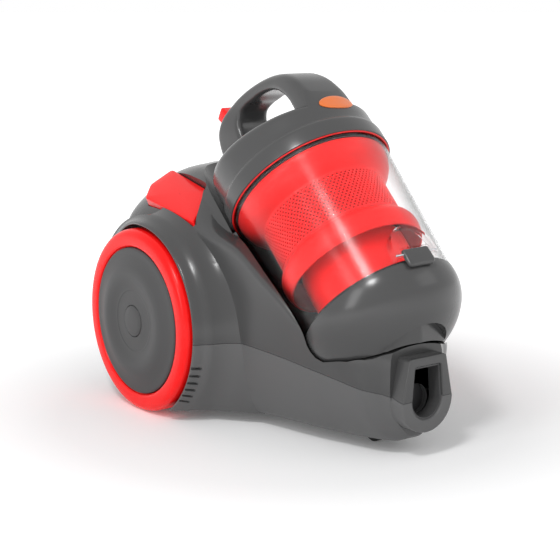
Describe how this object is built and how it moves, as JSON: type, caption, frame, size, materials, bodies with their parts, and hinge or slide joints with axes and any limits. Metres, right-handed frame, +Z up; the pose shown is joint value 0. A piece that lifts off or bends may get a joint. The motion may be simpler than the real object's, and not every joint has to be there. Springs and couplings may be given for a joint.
{
  "type": "canister vacuum cleaner",
  "caption": "Bagless canister vacuum cleaner: tilted clear dust bin with a red perforated shroud, carry handle, large rear wheels, foot pedals and a front hose inlet.",
  "frame": {"origin": "on the floor, under the middle of the machine's box", "axes": "+Z up, -Y towards the hose inlet at the front, +X towards the cord rewind pedal"},
  "size_m": [0.288, 0.4408, 0.3638],
  "materials": {
    "dark_plastic": "satin",
    "grey_plastic": "satin",
    "black_plastic": "matt",
    "red_plastic": "gloss",
    "white_plastic": "matt",
    "clear_plastic": "clear gloss",
    "steel": "bright",
    "rubber": "matt",
    "red_rubber": "satin",
    "filter_media": "matt",
    "circuit_board": "satin",
    "badge_plastic": "satin"
  },
  "bodies": {
    "machine": {"lower_chassis": "grey_plastic", "upper_body": "dark_plastic", "inlet_collar": "black_plastic", "inlet_duct": "black_plastic", "duct_seal": "rubber", "motor_duct": "black_plastic", "port_seal": "rubber", "motor_chamber": "grey_plastic", "chamber_cover": "grey_plastic", "motor_mounts": "rubber", "motor_case": "steel", "rewind_spring_case": "grey_plastic", "reel_post": "steel", "switch_box": "black_plastic", "control_board": "circuit_board", "cord_gland": "black_plastic", "wheel_axles": "steel", "axle_clips": "steel", "body_screws": "steel", "pedal_pins": "steel", "spring_power": "steel", "spring_rewind": "steel"},
    "left_wheel": {"hub_left": "dark_plastic", "tyre_left": "red_plastic", "cap_left": "dark_plastic"},
    "right_wheel": {"hub_right": "dark_plastic", "tyre_right": "red_plastic", "cap_right": "dark_plastic"},
    "caster_yoke": {"caster_fork": "black_plastic", "caster_pin": "steel"},
    "caster_roller": {"caster_wheel": "rubber"},
    "power_pedal": {"pedal_power": "red_plastic"},
    "rewind_pedal": {"pedal_rewind": "red_plastic"},
    "plunger": {"switch_plunger": "white_plastic"},
    "brake": {"brake_arm": "grey_plastic"},
    "brake_wheel": {"brake_roller": "rubber"},
    "cord_reel": {"cord_drum": "white_plastic"},
    "fan": {"fan_rotor": "steel"},
    "exhaust_cassette": {"exhaust_grille": "dark_plastic", "exhaust_filter": "filter_media"},
    "bin": {"bin_clear": "clear_plastic", "latch_guard": "clear_plastic", "base_hinge_pin": "steel", "latch_pin": "steel"},
    "bin_base": {"base_cap": "dark_plastic", "base_seal": "rubber"},
    "latch": {"base_latch": "dark_plastic"},
    "lid": {"bin_lid": "dark_plastic", "lid_seal": "red_rubber", "carry_handle": "dark_plastic", "badge_blank": "badge_plastic", "button_spring": "steel"},
    "button": {"release_button": "red_plastic"},
    "catch": {"release_catch": "red_plastic"},
    "foam_filter": {"pre_filter": "filter_media"},
    "filter_cup": {"filter_tray": "white_plastic"},
    "cyclone": {"shroud": "red_plastic", "dust_cone": "red_plastic"}
  },
  "joints": [
    {"name": "left_wheel_spin", "type": "hinge", "parent": "machine", "child": "left_wheel", "pos_m": [0, 0.0972, 0.0993], "axis": [1, 0, 0], "continuous": true},
    {"name": "right_wheel_spin", "type": "hinge", "parent": "machine", "child": "right_wheel", "pos_m": [0, 0.0972, 0.0993], "axis": [1, 0, 0], "continuous": true},
    {"name": "caster_swivel", "type": "hinge", "parent": "machine", "child": "caster_yoke", "pos_m": [0, -0.15, 0.02], "axis": [0, 0, 1], "continuous": true},
    {"name": "caster_roll", "type": "hinge", "parent": "caster_yoke", "child": "caster_roller", "pos_m": [0, -0.142, 0.01], "axis": [1, 0, 0], "continuous": true},
    {"name": "power_press", "type": "hinge", "parent": "machine", "child": "power_pedal", "pos_m": [-0.07282, 0.07585, 0.22414], "axis": [-0.8829, 0, -0.4695], "range_deg": [0, 4.75], "stiffness_Nm_per_rad": 2, "springref_deg": -8.59, "deforming": ["spring_power"]},
    {"name": "rewind_press", "type": "hinge", "parent": "machine", "child": "rewind_pedal", "pos_m": [0.07282, 0.07585, 0.22414], "axis": [-0.8829, 0, 0.4695], "range_deg": [0, 4.75], "stiffness_Nm_per_rad": 2, "springref_deg": -8.59, "deforming": ["spring_rewind"]},
    {"name": "switch_travel", "type": "slide", "parent": "machine", "child": "plunger", "axis": [0.4665, 0.1132, -0.8773], "range_m": [0, 0.0042]},
    {"name": "brake_lift", "type": "hinge", "parent": "machine", "child": "brake", "pos_m": [0.046, 0.112, 0.188], "axis": [-1, 0, 0], "range_deg": [0, 10]},
    {"name": "brake_roll", "type": "hinge", "parent": "brake", "child": "brake_wheel", "pos_m": [0.056, 0.09, 0.18138], "axis": [1, 0, 0], "continuous": true},
    {"name": "reel_spin", "type": "hinge", "parent": "machine", "child": "cord_reel", "pos_m": [0, 0.0972, 0.0993], "axis": [1, 0, 0], "continuous": true},
    {"name": "fan_spin", "type": "hinge", "parent": "machine", "child": "fan", "pos_m": [-0.03, 0.08, 0.1], "axis": [0, 1, 0], "continuous": true},
    {"name": "exhaust_off", "type": "slide", "parent": "machine", "child": "exhaust_cassette", "axis": [0, 1, 0], "range_m": [0, 0.06]},
    {"name": "bin_lift", "type": "slide", "parent": "machine", "child": "bin", "axis": [0, 0, 1], "range_m": [0, 0.3]},
    {"name": "base_open", "type": "hinge", "parent": "bin", "child": "bin_base", "pos_m": [0, -0.0904, 0.073], "axis": [1, 0, 0], "range_deg": [0, 80]},
    {"name": "latch_press", "type": "hinge", "parent": "bin", "child": "latch", "pos_m": [-0.00452, -0.20136, 0.20244], "axis": [-0.9986, 0.0364, -0.0376], "range_deg": [0, 12], "stiffness_Nm_per_rad": 0.05, "springref_deg": -11.46},
    {"name": "lid_lift", "type": "slide", "parent": "bin", "child": "lid", "axis": [0, 0.7176, 0.6964], "range_m": [0, 0.3]},
    {"name": "button_press", "type": "slide", "parent": "lid", "child": "button", "axis": [0, -0.8818, -0.4716], "range_m": [0, 0.005], "stiffness_N_per_m": 400, "springref_m": -0.003, "deforming": ["button_spring"]},
    {"name": "catch_draw", "type": "slide", "parent": "lid", "child": "catch", "axis": [0, -0.6964, 0.7176], "range_m": [0, 0.0042]},
    {"name": "foam_lift", "type": "slide", "parent": "bin", "child": "foam_filter", "axis": [0, 0.7176, 0.6964], "range_m": [0, 0.25]},
    {"name": "cup_lift", "type": "slide", "parent": "bin", "child": "filter_cup", "axis": [0, 0.7176, 0.6964], "range_m": [0, 0.2]},
    {"name": "cyclone_lift", "type": "slide", "parent": "bin", "child": "cyclone", "axis": [0, 0.7176, 0.6964], "range_m": [0, 0.13]}
  ],
  "couplings": [
    {"joint": "switch_travel", "follows": "power_press", "m_per_rad": 0.0465},
    {"joint": "brake_lift", "follows": "rewind_press", "ratio": 2},
    {"joint": "base_open", "follows": "bin_lift", "rad_per_m": 4.6484},
    {"joint": "catch_draw", "follows": "button_press", "ratio": 0.8},
    {"joint": "foam_lift", "follows": "lid_lift", "ratio": 0.8},
    {"joint": "cup_lift", "follows": "lid_lift", "ratio": 0.65},
    {"joint": "cyclone_lift", "follows": "lid_lift", "ratio": 0.4}
  ]
}
